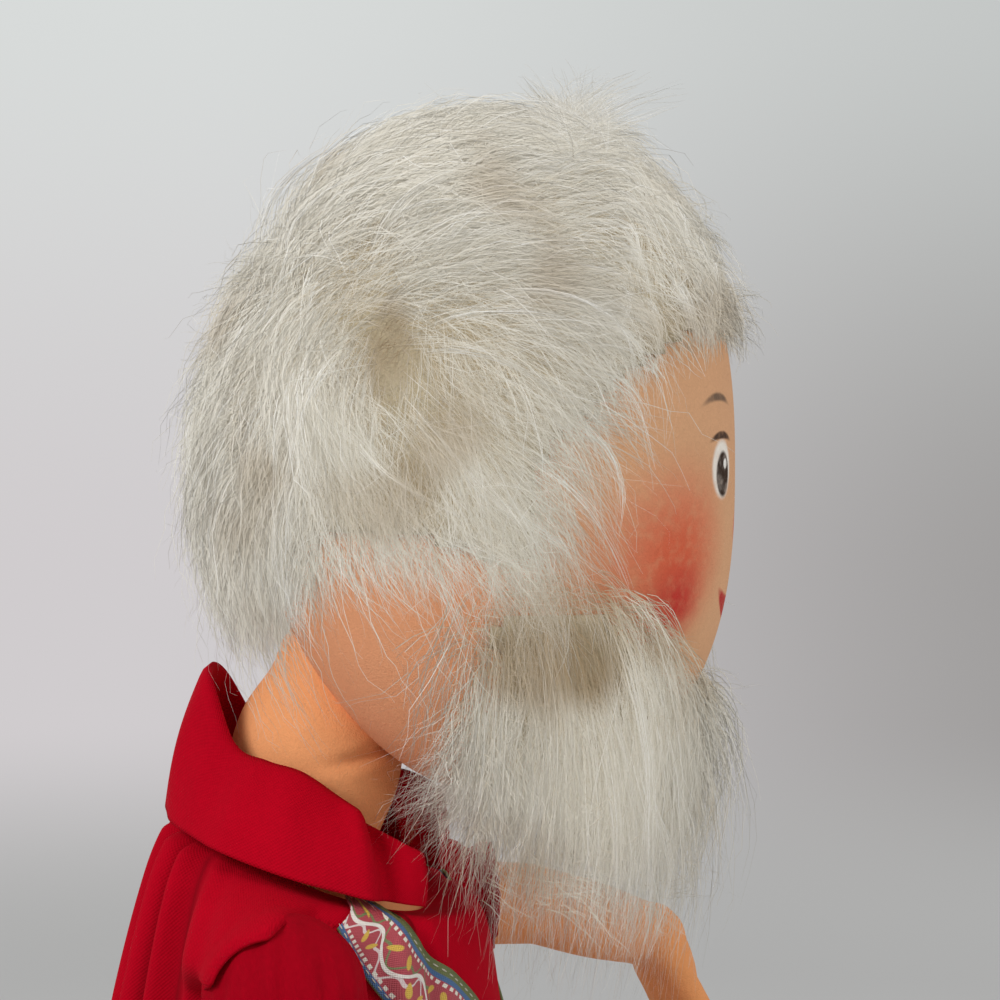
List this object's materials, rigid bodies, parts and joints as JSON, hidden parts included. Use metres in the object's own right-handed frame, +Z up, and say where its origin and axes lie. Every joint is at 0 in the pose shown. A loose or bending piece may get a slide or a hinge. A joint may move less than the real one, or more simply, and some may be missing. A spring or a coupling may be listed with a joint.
{
  "type": "santa doll",
  "caption": "Standing stuffed felt doll of Santa with fur hair and beard, folded collar, red smock with woven trim, trousers and boots, on a wire frame that holds a pose.",
  "frame": {"origin": "on the floor under the middle of the doll, at the bottom centre of its bounding box", "axes": "+Z up from the soles to the crown, -Y the way the doll faces, +X to the doll's left"},
  "size_m": [0.1752, 0.1442, 0.4606],
  "materials": {
    "skin_felt": "matte",
    "fur": "matte",
    "red_cotton": "matte",
    "ribbon": "matte",
    "black_felt": "matte",
    "stuffing": "matte",
    "stiffened_cloth": "matte",
    "wire": "satin"
  },
  "bodies": {
    "torso": {"torso_skin": "skin_felt", "torso_stuffing": "stuffing", "spine_wire": "wire", "shoulder_wire": "wire", "hip_wire": "wire", "trouser_seat": "red_cotton", "smock_front": "red_cotton", "smock_back": "red_cotton", "left_ribbon": "ribbon", "right_ribbon": "ribbon", "collar": "red_cotton"},
    "neck": {"neck_skin": "skin_felt", "neck_stuffing": "stuffing", "neck_wire": "wire"},
    "head": {"face_felt": "skin_felt", "head_back_felt": "skin_felt", "face_mask": "stiffened_cloth", "head_stuffing": "stuffing", "head_wire": "wire", "hair_wig": "fur", "beard": "fur"},
    "left_upper_arm": {"left_upper_arm_skin": "skin_felt", "left_upper_arm_stuffing": "stuffing", "left_upper_arm_wire": "wire", "left_sleeve": "red_cotton"},
    "left_forearm": {"left_forearm_skin": "skin_felt", "left_forearm_stuffing": "stuffing", "left_forearm_wire": "wire"},
    "right_upper_arm": {"right_upper_arm_skin": "skin_felt", "right_upper_arm_stuffing": "stuffing", "right_upper_arm_wire": "wire", "right_sleeve": "red_cotton"},
    "right_forearm": {"right_forearm_skin": "skin_felt", "right_forearm_stuffing": "stuffing", "right_forearm_wire": "wire"},
    "left_thigh": {"left_thigh_trouser": "red_cotton", "left_thigh_stuffing": "stuffing", "left_thigh_wire": "wire"},
    "left_shin": {"left_shin_trouser": "red_cotton", "left_shin_stuffing": "stuffing", "left_shin_wire": "wire", "left_boot_upper": "black_felt", "left_boot_stuffing": "stuffing", "left_boot_sole": "black_felt"},
    "right_thigh": {"right_thigh_trouser": "red_cotton", "right_thigh_stuffing": "stuffing", "right_thigh_wire": "wire"},
    "right_shin": {"right_shin_trouser": "red_cotton", "right_shin_stuffing": "stuffing", "right_shin_wire": "wire", "right_boot_upper": "black_felt", "right_boot_stuffing": "stuffing", "right_boot_sole": "black_felt"}
  },
  "joints": [
    {"name": "neck_nod", "type": "hinge", "parent": "torso", "child": "neck", "pos_m": [0.00162, 0.01785, 0.312], "axis": [1, 0, 0], "range_deg": [-10, 10]},
    {"name": "head_turn", "type": "hinge", "parent": "neck", "child": "head", "pos_m": [0.00162, 0.01229, 0.34351], "axis": [0, 0.1736, -0.9848], "range_deg": [-25, 25]},
    {"name": "left_shoulder", "type": "hinge", "parent": "torso", "child": "left_upper_arm", "pos_m": [0.04962, 0.01585, 0.288], "axis": [-1, 0, 0], "range_deg": [-116, 24]},
    {"name": "left_elbow", "type": "hinge", "parent": "left_upper_arm", "child": "left_forearm", "pos_m": [0.0626, -0.024, 0.28521], "axis": [-1, 0, 0], "range_deg": [-6, 104]},
    {"name": "right_shoulder", "type": "hinge", "parent": "torso", "child": "right_upper_arm", "pos_m": [-0.04638, 0.01585, 0.288], "axis": [1, 0, 0], "range_deg": [-104, 36]},
    {"name": "right_elbow", "type": "hinge", "parent": "right_upper_arm", "child": "right_forearm", "pos_m": [-0.05936, 0.01168, 0.24827], "axis": [-1, 0, 0], "range_deg": [-14, 76]},
    {"name": "left_hip", "type": "hinge", "parent": "torso", "child": "left_thigh", "pos_m": [0.02562, 0.01585, 0.15], "axis": [-1, 0, 0], "range_deg": [-15, 90]},
    {"name": "left_knee", "type": "hinge", "parent": "left_thigh", "child": "left_shin", "pos_m": [0.02562, 0.01585, 0.09], "axis": [1, 0, 0], "range_deg": [0, 90]},
    {"name": "right_hip", "type": "hinge", "parent": "torso", "child": "right_thigh", "pos_m": [-0.02238, 0.01585, 0.15], "axis": [-1, 0, 0], "range_deg": [-15, 90]},
    {"name": "right_knee", "type": "hinge", "parent": "right_thigh", "child": "right_shin", "pos_m": [-0.02238, 0.01585, 0.09], "axis": [1, 0, 0], "range_deg": [0, 90]}
  ]
}
